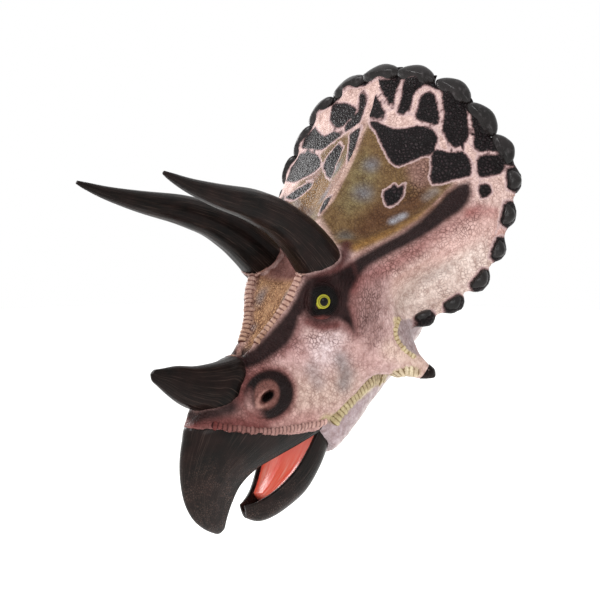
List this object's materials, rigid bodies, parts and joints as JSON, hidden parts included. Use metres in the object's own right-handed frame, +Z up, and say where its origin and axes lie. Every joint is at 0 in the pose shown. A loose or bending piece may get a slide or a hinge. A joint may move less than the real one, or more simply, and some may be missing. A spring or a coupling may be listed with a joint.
{
  "type": "wall-hung horned dinosaur head sculpture",
  "caption": "Life-size painted head of a frilled, horned dinosaur with its beak open, cast hollow and hung on a wall by its back board.",
  "frame": {"origin": "middle of the back board's rear face, which lies flat on the wall", "axes": "+Y into the wall, +Z up, +X to the animal's left; the head looks along -Y, tipped 47 degrees nose down"},
  "size_m": [0.9002, 1.141, 1.2991],
  "materials": {
    "skin": "painted resin, pink and olive with dark brown patches, satin",
    "horn": "painted resin, black-brown, half gloss with a fine grain",
    "mouth": "painted resin, coral red, wet gloss",
    "eye": "painted resin ball, yellow-green iris round a black pupil, high gloss",
    "plywood": "bare birch plywood",
    "steel": "zinc-plated sheet"
  },
  "bodies": {
    "root": {"face": "skin", "frill": "skin", "neck": "skin", "jaw": "skin", "upper_beak": "horn", "lower_beak": "horn", "mouth_lining": "mouth", "brow_horn_left": "horn", "brow_horn_right": "horn", "nose_horn": "horn", "cheek_horn_left": "horn", "cheek_horn_right": "horn", "eye_left": "eye", "eye_right": "eye", "back_board": "plywood", "hanger_left": "steel", "hanger_right": "steel"}
  },
  "joints": []
}
